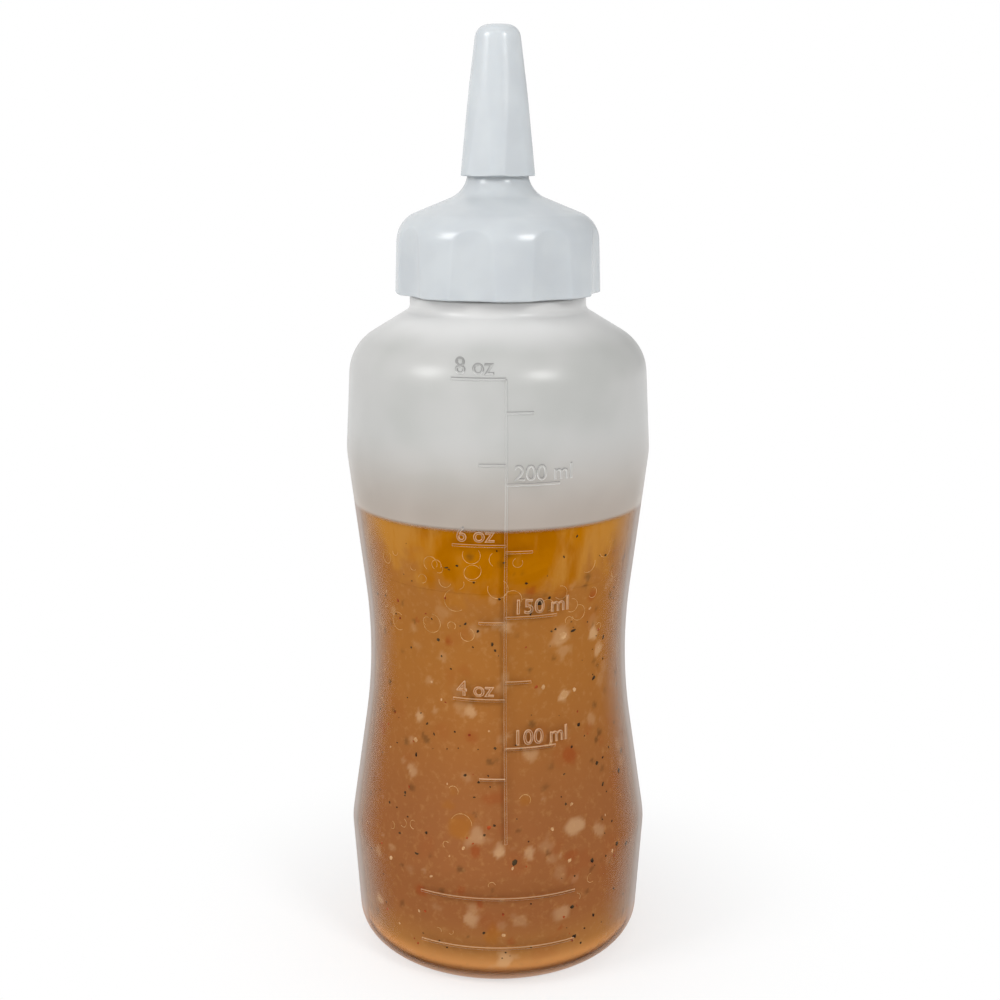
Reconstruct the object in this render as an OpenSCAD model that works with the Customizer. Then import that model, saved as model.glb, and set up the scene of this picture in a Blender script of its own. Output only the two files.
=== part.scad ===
// Squeeze bottle for sauce: waisted body, screw closure with a nozzle, push-on tip cap, contents.
// Millimetres, +Z up. The origin is the centre of the foot, and the volume scale faces -Y.
// Outlines are lists of corners, [radius, height, rounding], which rounded() turns into true arcs.

/* [Bottle body] */
// Height of the side wall, up to the shoulder
body_h = 116.1; // [104:0.1:130]
// Radius of the lower side wall, carried down to the foot
foot_r = 27.05; // [26:0.05:28]
// Rounding where the side wall turns under
foot_round = 6; // [4:0.5:8]
// Radius at the lower corner, the widest place
belly_r = 28.6; // [27.5:0.1:30]
// Height of the lower corner
belly_z = 24; // [18:0.5:30]
// Radius at the waist, where the hand goes
waist_r = 24.4; // [22:0.1:26]
// How far the waist lies below the middle between the two corners
waist_drop = 1.1; // [-4:0.1:4]
// Radius of the hollow of the waist, seen from the side
waist_hollow = 100; // [60:1:140]
// Radius at the upper corner
chest_r = 28.15; // [27:0.05:30]
// How far the upper corner lies below the shoulder
chest_drop = 19.1; // [16:0.1:23]
// Rounding of the upper and lower corners
side_round = 12; // [6:0.5:18]
// Radius where the side wall meets the shoulder
shoulder_r = 27.1; // [26:0.1:29]
// Rounding of the shoulder
shoulder_round = 8.8; // [5:0.2:10]
// Thickness of the squeezable wall
wall = 0.7; // [0.5:0.05:1.2]
// Rise of the floor in the middle
push_up = 1.6; // [1:0.1:3]
// Outer radius of that rise, inside the flat ring that the bottle stands on
push_up_r = 18; // [14:0.5:19]
// Run of that rise's slope for each millimetre of its height
push_up_slope = 3; // [2:0.5:4]
// Rounding where the slope meets the raised floor
floor_round = 2; // [1:0.5:3]
// Rounding where the slope meets the flat ring
ring_round = 1; // [0.5:0.1:1.5]

/* [Neck] */
// Outer radius of the threaded neck
neck_r = 15.15; // [14:0.05:17]
// Thickness of the neck's wall
neck_wall = 1.4; // [1.2:0.05:1.8]
// Length of the threaded neck, from the bead to the rim that the closure seals on
neck_h = 10.7; // [9.6:0.1:13]
// How far the bead under the closure stands out from the neck
bead_step = 0.95; // [0.6:0.05:1.4]
// Length of the bead along the neck
bead_h = 2.5; // [1.5:0.1:3.5]
// Height of the shoulder's slope, up to the bead
shoulder_h = 6.7; // [5.5:0.1:8]
// Rounding between shoulder and bead
bead_round = 1.5; // [0.5:0.1:2]

/* [Thread] */
// Rise of the thread in one turn
pitch = 4.2; // [3.8:0.1:4.6]
// Plain neck between the bead and the middle of the thread's lower end
thread_runout = 2.7; // [2:0.1:3.5]
// Height of the closure's thread above the skirt's lower edge, at the thread's lower end
skirt_lead = 1; // [0.8:0.1:2]
// How far each thread stands from its wall
thread_depth = 1.05; // [0.7:0.05:1.1]
// Width of each thread at its wall
thread_root = 1.7; // [1.4:0.05:1.8]
// Width of each thread at its crest
thread_crest = 0.8; // [0.5:0.05:1]
// Gap between a thread's crest and the wall that it faces
crest_gap = 0.35; // [0.3:0.05:0.5]
// Gap between the flanks that pull the closure down
flank_gap = 0.15; // [0.1:0.05:0.25]

/* [Closure] */
// Thickness of the skirt at its lower edge
skirt_wall = 2.15; // [1.9:0.05:3]
// Height of the skirt's lower edge above the bead
skirt_gap = 0.3; // [0.3:0.1:0.8]
// Radius that the skirt loses up to the dome
skirt_draft = 0.45; // [0:0.05:0.6]
// Height above the neck's rim where the skirt meets the dome
dome_rise = 2.6; // [2.2:0.1:4]
// Height of the dome's slope, up to the nozzle
dome_h = 5.05; // [4:0.05:7]
// Rounding between skirt and dome
dome_round = 5.5; // [3:0.1:6]
// Thickness of the dome and nozzle
shell = 1.3; // [1.1:0.05:1.6]
// Number of grip flutes round the skirt
flutes = 8; // [6:1:12]
// Depth of a flute
flute_depth = 0.65; // [0.3:0.05:0.8]
// Radius of the hollow of a flute
flute_hollow = 14.5; // [8:0.5:20]
// Angle of the first flute from +X
flute_start = -14; // [-22:1:22]
// Gap between the plug lip and the neck's bore
plug_gap = 0.3; // [0.2:0.05:0.5]
// Thickness of the plug lip
plug_wall = 0.95; // [0.8:0.05:1.2]
// Reach of the plug lip below the neck's rim
plug_reach = 2.2; // [1.5:0.1:4]
// Rounding where the plug lip meets the dome
plug_round = 1; // [0.5:0.1:1.5]
// Thickness of the sealing washer
seal_t = 1; // [0.8:0.1:1.2]
// Gap between the washer and what it touches
seal_gap = 0.05; // [0.02:0.01:0.1]

/* [Nozzle] */
// Radius of the nozzle's foot, where its cone meets the dome
nozzle_r = 5.87; // [5.6:0.05:6.2]
// Rounding between dome and nozzle
nozzle_round = 5; // [3:0.1:5.5]
// Length of the nozzle
nozzle_h = 23.85; // [20:0.05:28]
// Radius of the nozzle's tip
nozzle_tip_r = 2.865; // [2.4:0.005:3.4]

/* [Tip cap] */
// Height of the tip cap's open edge above the nozzle's foot
cap_seat = 2.75; // [2.5:0.05:5]
// Thickness of the tip cap's solid end
cap_end = 4.3; // [2.8:0.1:6]
// Thickness of the tip cap's wall between the flats
cap_wall = 1.44; // [1.2:0.02:1.8]
// Gap between nozzle and tip cap
cap_gap = 0.12; // [0.05:0.01:0.25]
// Room between the nozzle's tip and the end of the tip cap's bore
cap_end_gap = 0.5; // [0.3:0.1:1]
// Rounding round the top
cap_round = 2.4; // [1:0.1:2.6]
// Rise of the crown inside that rounding
cap_crown = 0.2; // [0.1:0.05:0.4]
// Number of flats round the tip cap
cap_flats = 6; // [5:1:8]
// Depth of a flat at the open edge
cap_flat_depth = 0.43; // [0.2:0.01:0.6]
// Height of a flat, up to where it runs out
cap_flat_h = 14.3; // [8:0.1:18]

/* [Volume scale] */
// How far the 8 oz mark lies below the shoulder
scale_drop = 2.42; // [1.5:0.01:8]
// Rise of the scale for each 100 ml
scale_rise = 49; // [47:0.1:49.5]
// How far the marks stand from the wall
relief = 0.25; // [0.2:0.05:0.4]
// How far the upright line stands from the wall
upright_relief = 0.12; // [0.08:0.02:0.16]
// Width of a raised line
line_w = 0.45; // [0.3:0.05:0.8]
// Angle of the scale's upright line, from -Y towards +X
scale_turn = 3; // [-10:0.5:10]
// Length of a labelled mark
long_mark = 9.4; // [7:0.1:11]
// Length of a mark between two labels
short_mark = 4.7; // [3:0.1:6]
// Height of the upright line's lower end
scale_foot_z = 29.5; // [28:0.5:34]
// Height of the lower of the two raised arcs near the foot
arc_low_z = 8.8; // [7.5:0.1:12]
// Height of the upper arc
arc_high_z = 19; // [15:0.5:21]
// Length of each raised arc
arc_length = 29.5; // [20:0.5:36]

/* [Contents] */
// Millilitres of contents, as the scale shows them
fill = 183; // [140:1:200]
// Depth of the settled oil on top
oil_depth = 12; // [4:0.5:16]
// Gap between contents and wall, and between the two layers
film = 0.05; // [0.02:0.01:0.1]

/* [Hidden] */

$fn = 96;
// Greatest distance between an arc and the short chords that draw it
chord_error = 0.02;
// How far raised lines and threads reach into the wall that carries them
sink = 0.4;
// Angle between the rings of a thread, about
thread_step = 10;
// Angle over which a thread's end grows to its full height
thread_lead = 40;
// Angle from +X where the neck's thread starts
thread_start = 30;
// Millilitres in a fluid ounce
fluid_oz = 29.5735;
// Rounding of the edges that a hand or the washer touches
edge_round = 0.4;
// Least rounding of an outline that was moved inwards
least_round = 0.2;
// Least height between an outline's point and a band's end
least_step = 0.5;
// How far a cut runs past what it cuts
overcut = 1;

// Colours: polyethylene of the body, of the closure and tip cap, the washer and the contents
natural = [0.84, 0.85, 0.84, 0.45];
milky = [0.85, 0.87, 0.88, 0.8];
silicone = [0.93, 0.93, 0.9];
emulsion = [0.63, 0.41, 0.24];
oil = [0.72, 0.44, 0.1, 0.85];

// Directions and corners of an outline
function toward(a, b) = (b - a) / norm(b - a);
function left_of(v) = [-v.y, v.x];
function side_turn(u, v) = cross(u, v) < 0 ? -1 : 1;
function polar(r, angle) = [r * cos(angle), r * sin(angle)];
function place(corner) = [corner[0], corner[1]];

// Height of the straight line through a and b at radius r
function height_at(a, b, r) = a.y + (b.y - a.y) * (r - a.x) / (b.x - a.x);

// The arc that rounds corner b between its neighbours a and c
function corner_arc(a, b, c, radius) =
    let (
        u = toward(b, a),
        v = toward(b, c),
        half = acos(u * v) / 2,
        sweep = 180 - 2 * half,
        centre = b + toward([0, 0], u + v) * radius / sin(half),
        start = b + u * radius / tan(half) - centre,
        first = atan2(start.y, start.x),
        turn = side_turn(b - a, c - b) * sweep,
        steps = max(1, ceil(sweep / (2 * acos(1 - chord_error / radius))))
    )
    [for (i = [0 : steps]) centre + polar(radius, first + turn * i / steps)];

// An open outline with each corner rounded by its third value
function rounded(corners) =
    let (last = len(corners) - 1)
    [for (i = [0 : last])
        each (i == 0 || i == last || corners[i][2] == 0
            ? [place(corners[i])]
            : corner_arc(place(corners[i - 1]), place(corners[i]), place(corners[i + 1]), corners[i][2]))];

// The same outline moved to its left by t, with its roundings grown or shrunk to match
function inset(corners, t) =
    let (
        last = len(corners) - 1,
        way = [for (i = [0 : last - 1]) toward(place(corners[i]), place(corners[i + 1]))]
    )
    [for (i = [0 : last])
        let (
            u = way[max(0, i - 1)],
            v = way[min(last - 1, i)],
            shift = (left_of(u) + left_of(v)) / (1 + u * v),
            moved = place(corners[i]) + shift * t,
            radius = corners[i][2]
        )
        [moved.x, moved.y, radius == 0 ? 0 : max(least_round, radius - side_turn(u, v) * t)]];

function backwards(list) = [for (i = [len(list) - 1 : -1 : 0]) list[i]];

// Points of the waist's hollow: an arc that both flanks meet without a kink
function waist_arc() =
    let (
        centre = [waist_r + waist_hollow, waist_z],
        low = [belly_r, belly_z] - centre,
        high = [chest_r, chest_z] - centre,
        low_angle = atan2(low.y, low.x) + 360 - acos(waist_hollow / norm(low)),
        high_angle = atan2(high.y, high.x) + acos(waist_hollow / norm(high)),
        steps = ceil((low_angle - high_angle) / (2 * acos(1 - chord_error / waist_hollow)))
    )
    [for (i = [0 : steps])
        let (p = centre + polar(waist_hollow, low_angle + (high_angle - low_angle) * i / steps))
        [p.x, p.y, 0]];

// Heights of the corners, which follow the height of the body
chest_z = body_h - chest_drop;
waist_z = (belly_z + chest_z) / 2 - waist_drop;
bead_z = body_h + shoulder_h;
rim_z = bead_z + bead_h + neck_h;
dome_z = rim_z + dome_rise;
nozzle_z = dome_z + dome_h;
tip_z = nozzle_z + nozzle_h;

neck_bore_r = neck_r - neck_wall;
bead_r = neck_r + bead_step;

// Bottle outline, from the middle of the floor out and up to the bead
bottle_corners = concat(
    [
        [0, push_up, 0],
        [push_up_r - push_up_slope * push_up, push_up, floor_round],
        [push_up_r, 0, ring_round],
        [foot_r, 0, foot_round],
        [belly_r, belly_z, side_round]
    ],
    waist_arc(),
    [
        [chest_r, chest_z, side_round],
        [shoulder_r, body_h, shoulder_round],
        [bead_r, bead_z, 0]
    ]
);
inner_corners = inset(bottle_corners, wall);
inner_last = len(inner_corners) - 1;
bore_z = height_at(inner_corners[inner_last - 1], inner_corners[inner_last], neck_bore_r);
outer_side = rounded(bottle_corners);
inner_side = rounded(concat(
    [for (i = [0 : inner_last - 1]) inner_corners[i]],
    [[neck_bore_r, bore_z, bead_round], [neck_bore_r, rim_z, 0]]
));
outer_wall = rounded(concat(
    [for (i = [0 : len(bottle_corners) - 2]) bottle_corners[i]],
    [
        [bead_r, bead_z, bead_round],
        [bead_r, bead_z + bead_h, edge_round],
        [neck_r, bead_z + bead_h, 0],
        [neck_r, rim_z, edge_round],
        [neck_bore_r, rim_z, 0]
    ]
));

// The outer radius of the side wall at a height
function side_r(z) = lookup(z, [for (p = outer_side) if (p.x > push_up_r) [p.y, p.x]]);

// Height of the mark for a volume in millilitres: the scale is evenly spaced
function mark_z(volume) = body_h - scale_drop - scale_rise * (8 * fluid_oz - volume) / 100;

// Radius to which the neck's thread stands, and of the wall that the closure's thread stands on
neck_crest_r = neck_r + thread_depth;
skirt_bore_r = neck_crest_r + crest_gap;
skirt_r = skirt_bore_r + skirt_wall;
dome_r = skirt_r - skirt_draft;
skirt_z = bead_z + bead_h + skirt_gap;
shelf_z = rim_z + seal_t + 2 * seal_gap;
// The neck's thread ends just under the rim
neck_thread_z = bead_z + bead_h + thread_runout;
neck_turns = (rim_z - thread_root - neck_thread_z) / pitch;
// The closure's thread lies under the neck's, apart by the flank gap at mid depth, and ends with it
flank_step = (thread_root + thread_crest) / 2 + flank_gap;
closure_thread_z = skirt_z + skirt_lead;
closure_start = thread_start + 360 * (closure_thread_z + flank_step - neck_thread_z) / pitch;
closure_turns = (rim_z - thread_root - flank_step - closure_thread_z) / pitch;

// Radius lost for each millimetre of nozzle
nozzle_taper = (nozzle_r - nozzle_tip_r) / nozzle_h;
nozzle_lean = atan(nozzle_taper);
cap_z = nozzle_z + cap_seat;
cap_top_z = tip_z + cap_end_gap + cap_end;

level_z = mark_z(fill);

// Four corners of a thread's section at one angle, its crest growing in from both ends
function thread_ring(wall_r, depth, z, angle, grown) =
    let (
        inward = depth < 0 ? -1 : 1,
        reach = inward * (-sink / 2 + (abs(depth) + sink / 2) * grown),
        buried = wall_r - inward * sink,
        root_half = thread_root / 2 + sink * (thread_root - thread_crest) / 2 / abs(depth),
        crest_half = thread_crest / 2,
        crest_r = wall_r + reach,
        section = [[buried, -root_half], [crest_r, -crest_half], [crest_r, crest_half], [buried, root_half]]
    )
    [for (c = section) [c[0] * cos(angle), c[0] * sin(angle), z + c[1]]];

// A right-handed thread of 'turns' turns that starts at 'start' degrees and height z
module thread(wall_r, depth, z, start, turns) {
    steps = round(turns * 360 / thread_step);
    rings = [
        for (i = [0 : steps])
            let (
                swept = turns * 360 * i / steps,
                grown = min(1, swept / thread_lead, (turns * 360 - swept) / thread_lead)
            )
            each thread_ring(wall_r, depth, z + pitch * swept / 360, start + swept, grown)
    ];
    sides = [
        for (i = [0 : steps - 1], k = [0 : 3])
            let (a = 4 * i + k, b = 4 * i + (k + 1) % 4)
            each [[a, a + 4, b], [b, a + 4, b + 4]]
    ];
    last = 4 * steps;
    ends = [[0, 1, 2], [0, 2, 3], [last, last + 2, last + 1], [last, last + 3, last + 2]];
    faces = concat(sides, ends);
    polyhedron(rings, depth < 0 ? faces : [for (f = faces) backwards(f)]);
}

// A raised line along the wall at height z, from one angle to another, measured from -Y
module raised_mark(z, from_angle, to_angle) {
    r = side_r(z);
    rotate([0, 0, from_angle - 90])
        rotate_extrude(angle = to_angle - from_angle)
            polygon([
                [r - sink, z - line_w / 2],
                [r + relief, z - line_w / 4],
                [r + relief, z + line_w / 4],
                [r - sink, z + line_w / 2]
            ]);
}

// The scale: ounces to the left of an upright line, millilitres to its right
module volume_scale() {
    top_z = mark_z(8 * fluid_oz);
    upright = line_w / waist_r * 180 / PI;
    for (ounces = [3 : 8]) {
        z = mark_z(ounces * fluid_oz);
        length = ounces % 2 == 0 ? long_mark : short_mark;
        raised_mark(z, scale_turn - length / side_r(z) * 180 / PI, scale_turn);
    }
    for (volume = [100 : 25 : 225]) {
        z = mark_z(volume);
        length = volume % 50 == 0 ? long_mark : short_mark;
        raised_mark(z, scale_turn, scale_turn + length / side_r(z) * 180 / PI);
    }
    rotate([0, 0, scale_turn - upright / 2 - 90])
        rotate_extrude(angle = upright)
            polygon(concat(
                band_edge(scale_foot_z, top_z, upright_relief),
                backwards(band_edge(scale_foot_z, top_z, -sink))
            ));
    for (z = [arc_low_z, arc_high_z]) {
        half = arc_length / 2 / side_r(z) * 180 / PI;
        raised_mark(z, -half, half);
    }
}

// Points of the side wall from z0 to z1, moved out by 'out'
function band_edge(z0, z1, out) = concat(
    [[side_r(z0) + out, z0]],
    [
        for (p = outer_side)
            if (p.x > push_up_r && p.y > z0 + least_step && p.y < z1 - least_step)
                [p.x + out, p.y]
    ],
    [[side_r(z1) + out, z1]]
);

// Blow-moulded body with its neck, thread and scale
module bottle() {
    color(natural)
        union() {
            rotate_extrude()
                polygon(concat(outer_wall, backwards(inner_side)));
            thread(neck_r, thread_depth, neck_thread_z, thread_start, neck_turns);
            volume_scale();
        }
}

// Closure outline, from the skirt's inner edge out and up to the nozzle's tip
closure_corners = [
    [skirt_bore_r, skirt_z, 0],
    [skirt_r, skirt_z, edge_round],
    [dome_r, dome_z, dome_round],
    [nozzle_r, nozzle_z, nozzle_round],
    [nozzle_tip_r, tip_z, edge_round],
    [nozzle_tip_r - shell / cos(nozzle_lean), tip_z, 0]
];
closure_inside = inset(closure_corners, shell);
plug_out_r = neck_bore_r - plug_gap;
plug_in_r = plug_out_r - plug_wall;
plug_z = rim_z - plug_reach;
dome_under_z = height_at(closure_inside[2], closure_inside[3], plug_in_r);

// Screw closure: fluted skirt with its thread, plug lip, dome and nozzle in one moulding
module closure() {
    bore = backwards([
        [skirt_bore_r, shelf_z, edge_round],
        [plug_out_r, shelf_z, edge_round],
        [plug_out_r, plug_z, edge_round],
        [plug_in_r, plug_z, 0],
        [plug_in_r, dome_under_z, plug_round],
        closure_inside[3],
        closure_corners[5]
    ]);
    color(milky)
        union() {
            difference() {
                rotate_extrude()
                    polygon(concat(
                        rounded(closure_corners),
                        rounded(concat(bore, [closure_corners[0]]))
                    ));
                grip_flutes();
            }
            thread(skirt_bore_r, -thread_depth, closure_thread_z, closure_start, closure_turns);
        }
}

// Shallow upright hollows, open at the skirt's lower edge, that run out in the dome's rounding
module grip_flutes() {
    for (i = [0 : flutes - 1])
        rotate([0, 0, flute_start + i * 360 / flutes])
            translate([dome_r - flute_depth + flute_hollow, 0, skirt_z - overcut])
                cylinder(r = flute_hollow, h = dome_z - skirt_z + 2 * overcut);
}

// Washer between the neck's rim and the closure
module seal_ring() {
    low = rim_z + seal_gap;
    high = low + seal_t;
    in_r = plug_out_r + edge_round + seal_gap;
    out_r = skirt_bore_r - edge_round - seal_gap;
    color(silicone)
        rotate_extrude()
            polygon([[in_r, low], [out_r, low], [out_r, high], [in_r, high]]);
}

// Blind tapered cap with flats to pull it by
module tip_cap() {
    lean = nozzle_taper;
    bore_mouth_r = nozzle_r - lean * (cap_z - nozzle_z) + cap_gap;
    bore_end_z = tip_z + cap_end_gap;
    bore_end_r = nozzle_r - lean * (bore_end_z - nozzle_z) + cap_gap;
    mouth_r = bore_mouth_r + cap_wall;
    top_r = mouth_r - lean * (cap_top_z - cap_z);
    outline = rounded([
        [bore_mouth_r, cap_z, 0],
        [mouth_r, cap_z, edge_round],
        [top_r, cap_top_z, cap_round],
        [0, cap_top_z + cap_crown, 0]
    ]);
    bore = [[0, bore_end_z], [bore_end_r, bore_end_z]];
    color(milky)
        difference() {
            rotate_extrude()
                polygon(concat(outline, bore));
            for (i = [0 : cap_flats - 1])
                rotate([0, 0, (i + 0.5) * 360 / cap_flats - 90])
                    cap_flat(mouth_r);
        }
}

// Block whose inner face is one flat: deepest at the open edge, run out at its upper end
module cap_flat(mouth_r) {
    flat_lean = atan(nozzle_taper - cap_flat_depth / cap_flat_h);
    translate([mouth_r - cap_flat_depth, 0, cap_z])
        rotate([0, -flat_lean, 0])
            translate([0, -mouth_r, -mouth_r])
                cube([mouth_r, 2 * mouth_r, cap_top_z - cap_z + mouth_r]);
}

// Outline of the contents, from the middle of the floor out and up along the wall
contents_side = rounded(inset(inner_corners, film));

// Radius of the contents at a height
function contents_r(z) = lookup(z, [for (p = contents_side) if (p.x > push_up_r) [p.y, p.x]]);

// The emulsion, from the floor up to the oil
module dressing() {
    top_z = level_z - oil_depth - film;
    color(emulsion)
        rotate_extrude()
            polygon(concat(
                [for (p = contents_side) if (p.y < top_z) p],
                [[contents_r(top_z), top_z], [0, top_z]]
            ));
}

// The oil that has settled on the emulsion
module oil_layer() {
    low_z = level_z - oil_depth;
    color(oil)
        rotate_extrude()
            polygon(concat(
                [[0, low_z], [contents_r(low_z), low_z]],
                [for (p = contents_side) if (p.y > low_z && p.y < level_z) p],
                [[contents_r(level_z), level_z], [0, level_z]]
            ));
}

bottle();
closure();
seal_ring();
tip_cap();
dressing();
oil_layer();
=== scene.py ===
# %% [markdown]
# # A squeeze bottle of dressing
# The object is a blow-moulded bottle of natural polyethylene with a screw closure, a tip cap that
# is pushed over the nozzle, and a layered vinaigrette inside. Its mechanical model comes packed as
# a frame: six CAD nodes on four bodies, at their real size. This notebook builds the looks round
# that frame, in metres, with +Z up and the volume scale facing -Y.

import math
import random

import bmesh
import bpy
from mathutils import Matrix, Vector, kdtree, noise


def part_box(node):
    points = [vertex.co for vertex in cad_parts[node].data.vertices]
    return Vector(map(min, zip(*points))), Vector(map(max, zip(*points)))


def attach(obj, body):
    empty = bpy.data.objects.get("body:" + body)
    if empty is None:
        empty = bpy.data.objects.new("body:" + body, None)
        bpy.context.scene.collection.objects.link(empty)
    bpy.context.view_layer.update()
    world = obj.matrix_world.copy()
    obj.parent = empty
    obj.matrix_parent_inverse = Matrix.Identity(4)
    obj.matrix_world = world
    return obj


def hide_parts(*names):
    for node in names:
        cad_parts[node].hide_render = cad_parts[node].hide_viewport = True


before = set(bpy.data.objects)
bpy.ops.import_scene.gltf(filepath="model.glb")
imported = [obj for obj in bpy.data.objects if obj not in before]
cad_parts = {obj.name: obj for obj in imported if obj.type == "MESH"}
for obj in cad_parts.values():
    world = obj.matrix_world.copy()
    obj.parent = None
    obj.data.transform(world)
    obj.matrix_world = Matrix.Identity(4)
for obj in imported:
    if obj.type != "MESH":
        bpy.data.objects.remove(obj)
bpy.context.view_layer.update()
MM = 0.001
print("nodes:", sorted(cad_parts))

# %% [markdown]
# ## Heights that the frame gives
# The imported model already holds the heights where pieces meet. Reading them from the nodes' boxes
# keeps the looks seated on the CAD model, even if its sizes change a little.

# %% Read the heights where pieces meet
RIM_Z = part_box("bottle")[1].z
LEVEL_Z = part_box("oil_layer")[1].z
OIL_FOOT_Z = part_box("oil_layer")[0].z
SKIRT_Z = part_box("closure")[0].z
NOZZLE_TIP_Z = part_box("closure")[1].z
CAP_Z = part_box("tip_cap")[0].z
CAP_TOP_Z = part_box("tip_cap")[1].z
print("rim, level, cap top in mm:", [round(z / MM, 2) for z in (RIM_Z, LEVEL_Z, CAP_TOP_Z)])

# %% [markdown]
# ## Drawing an outline
# Every round piece here is an outline spun about the Z axis. An outline is a list of corners,
# each with a radius, a height and a rounding. The rounding could be a vertex bevel, but a bevel
# makes a true circle only at a square corner. Spinning one vertex about the arc's own centre
# draws a true arc at any angle, so each rounding is a small spin of its own. The spin operator
# slows down as the mesh grows, so only an eighth of a turn is spun, and then copied round.

# %% Draw and spin outlines
CHORD_ERROR = 0.008 * MM
LEAST_ROUND = 0.2 * MM


def arc_steps(radius, turn, error):
    """How many straight steps draw an arc that strays less than the chord error."""
    return max(3, math.ceil(turn / (2 * math.acos(1 - error / radius))))


def draw_outline(bm, corners, error=CHORD_ERROR):
    """Draws a chain of edges through (radius, height, rounding) corners, in the XZ plane."""
    places = [Vector((r, 0, z)) for r, z, _ in corners]
    last = None
    for i, (place, (_, _, rounding)) in enumerate(zip(places, corners)):
        if rounding == 0 or i in (0, len(corners) - 1):
            first = end = bm.verts.new(place)
        else:
            back = (places[i - 1] - place).normalized()
            ahead = (places[i + 1] - place).normalized()
            half = back.angle(ahead) / 2
            centre = place + (back + ahead).normalized() * rounding / math.sin(half)
            first = bm.verts.new(place + back * rounding / math.tan(half))
            turn = math.pi - 2 * half
            sense = math.copysign(1, ahead.cross(back).y)
            spun = bmesh.ops.spin(bm, geom=[first], cent=centre, axis=(0, sense, 0),
                                  angle=turn, steps=arc_steps(rounding, turn, error))
            end = next(g for g in spun["geom_last"] if isinstance(g, bmesh.types.BMVert))
        if last is not None:
            bm.edges.new((last, first))
        last = end
    bm.verts.ensure_lookup_table()


def outline_points(corners):
    """The radius and height of each point along an outline with its roundings drawn."""
    bm = bmesh.new()
    draw_outline(bm, corners)
    points = [(v.co.x, v.co.z) for v in bm.verts]
    bm.free()
    return points


def revolve(bm, steps):
    """Spins an eighth of a turn, doubles it three times, and closes the seams and the poles."""
    geom = bm.verts[:] + bm.edges[:]
    made = math.tau / 8
    bmesh.ops.spin(bm, geom=geom, cent=(0, 0, 0), axis=(0, 0, 1), angle=made, steps=steps // 8)
    while made < math.tau * 0.9:
        copy = bmesh.ops.duplicate(bm, geom=bm.verts[:] + bm.edges[:] + bm.faces[:])["geom"]
        bmesh.ops.rotate(bm, verts=[g for g in copy if isinstance(g, bmesh.types.BMVert)],
                         cent=(0, 0, 0), matrix=Matrix.Rotation(made, 3, "Z"))
        made *= 2
    bmesh.ops.remove_doubles(bm, verts=bm.verts, dist=0.001 * MM)
    bmesh.ops.recalc_face_normals(bm, faces=bm.faces)


def finish_piece(bm, name, material, smooth=True):
    """Makes the bmesh an object with one material. Edges sharper than 35 degrees stay crisp."""
    mesh = bpy.data.meshes.new(name)
    bm.to_mesh(mesh)
    bm.free()
    mesh.polygons.foreach_set("use_smooth", [smooth] * len(mesh.polygons))
    if smooth:
        mesh.set_sharp_from_angle(angle=math.radians(35))
    mesh.materials.append(material)
    piece = bpy.data.objects.new(name, mesh)
    bpy.context.scene.collection.objects.link(piece)
    mesh.calc_loop_triangles()
    print(f"{name}: {len(mesh.vertices)} vertices, {len(mesh.loop_triangles)} triangles")
    return piece


# %% [markdown]
# ## The bottle's outline
# The sizes are the real bottle's, in millimetres. The waist is one large arc that meets the two
# straight flanks without a kink, so its corner lies where the two tangents to that arc cross.

# %% Bottle sizes
FOOT_R, FOOT_ROUND = 27.05 * MM, 6 * MM
BELLY_R, BELLY_Z = 28.6 * MM, 24 * MM
WAIST_R, WAIST_Z, WAIST_HOLLOW = 24.4 * MM, 59.4 * MM, 100 * MM
CHEST_R, CHEST_Z = 28.15 * MM, 97 * MM
SIDE_ROUND = 12 * MM
SHOULDER_R, SHOULDER_Z, SHOULDER_ROUND = 27.1 * MM, 116.1 * MM, 8.8 * MM
WALL = 0.7 * MM
PUSH_UP, PUSH_UP_R, PUSH_UP_SLOPE = 1.6 * MM, 18 * MM, 3
FLOOR_ROUND, RING_ROUND = 2 * MM, 1 * MM
NECK_R, NECK_BORE_R = 15.15 * MM, 13.75 * MM
BEAD_R, BEAD_Z, BEAD_H, BEAD_ROUND = 16.1 * MM, 122.8 * MM, 2.5 * MM, 1.5 * MM
EDGE_ROUND = 0.4 * MM


def tangent_line(corner_r, corner_z, upward):
    """A corner of the side and the direction in which its flank leaves to meet the waist's arc."""
    centre = Vector((WAIST_R + WAIST_HOLLOW, WAIST_Z))
    corner = Vector((corner_r, corner_z))
    reach = centre - corner
    swing = math.asin(WAIST_HOLLOW / reach.length)
    angle = math.atan2(reach.y, reach.x) + (swing if upward else -swing)
    return corner, Vector((math.cos(angle), math.sin(angle)))


def waist_corner():
    """Where the flanks above and below the waist would cross."""
    low, up = tangent_line(BELLY_R, BELLY_Z, True)
    high, down = tangent_line(CHEST_R, CHEST_Z, False)
    gap = high - low
    along = (gap.x * down.y - gap.y * down.x) / (up.x * down.y - up.y * down.x)
    meet = low + up * along
    return (meet.x, meet.y, WAIST_HOLLOW)


body_corners = [
    (0, PUSH_UP, 0),
    (PUSH_UP_R - PUSH_UP_SLOPE * PUSH_UP, PUSH_UP, FLOOR_ROUND),
    (PUSH_UP_R, 0, RING_ROUND),
    (FOOT_R, 0, FOOT_ROUND),
    (BELLY_R, BELLY_Z, SIDE_ROUND),
    waist_corner(),
    (CHEST_R, CHEST_Z, SIDE_ROUND),
    (SHOULDER_R, SHOULDER_Z, SHOULDER_ROUND),
    (BEAD_R, BEAD_Z, BEAD_ROUND),
]
print("waist corner in mm:", [round(v / MM, 2) for v in waist_corner()])


# %% [markdown]
# ## From one skin to a wall
# A blow-moulded wall has nearly the same thickness everywhere, so the inner skin is the outer
# outline moved in by the wall. Each corner moves along the bisector of its two sides, and its
# rounding shrinks or grows by the wall. The same function later draws the liquids.

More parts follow.
